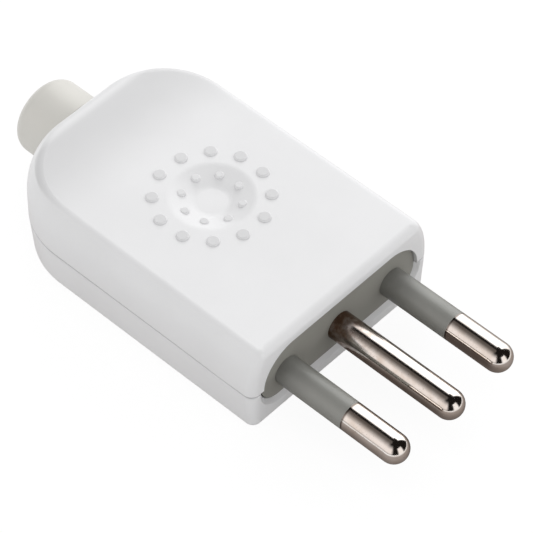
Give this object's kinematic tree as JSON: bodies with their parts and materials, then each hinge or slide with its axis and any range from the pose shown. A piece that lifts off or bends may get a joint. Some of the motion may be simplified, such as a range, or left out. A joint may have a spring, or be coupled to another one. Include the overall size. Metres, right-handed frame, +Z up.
{
  "type": "grounded plug",
  "caption": "Rewirable grounded mains plug: round in-line pins, the outer ones part-sleeved, in a recessed carrier, a split housing with a dished, dotted finger grip, and a rear cord gland.",
  "frame": {"origin": "on the axis of the earth pin, in the plane of the housing's front face", "axes": "+X across the pins towards the live pin, -Y the way the pins point, +Z up from the parting plane to the finger grip"},
  "size_m": [0.0322, 0.0724, 0.0141],
  "materials": {
    "housing_white": "white moulded thermoset, satin gloss",
    "carrier_grey": "grey moulded plastic, fine matt",
    "sleeve_grey": "grey moulded insulation, fine matt",
    "pin_metal": "nickel-plated turned brass, bright",
    "gland_white": "off-white moulded plastic, satin",
    "terminal_brass": "plain machined",
    "screw_steel": "zinc-plated",
    "clamp_plastic": "moulded plastic"
  },
  "bodies": {
    "root": {"upper_shell": "housing_white", "lower_shell": "housing_white", "pin_carrier": "carrier_grey", "live_pin": "pin_metal", "neutral_pin": "pin_metal", "earth_pin": "pin_metal", "live_pin_sleeve": "sleeve_grey", "neutral_pin_sleeve": "sleeve_grey", "live_terminal": "terminal_brass", "neutral_terminal": "terminal_brass", "earth_terminal": "terminal_brass", "live_terminal_screw": "screw_steel", "neutral_terminal_screw": "screw_steel", "earth_terminal_screw": "screw_steel", "cord_clamp_bar": "clamp_plastic", "cord_clamp_screw_left": "screw_steel", "cord_clamp_screw_right": "screw_steel", "cable_gland": "gland_white", "housing_screw_left": "screw_steel", "housing_screw_right": "screw_steel", "housing_nut_left": "screw_steel", "housing_nut_right": "screw_steel"}
  },
  "joints": []
}
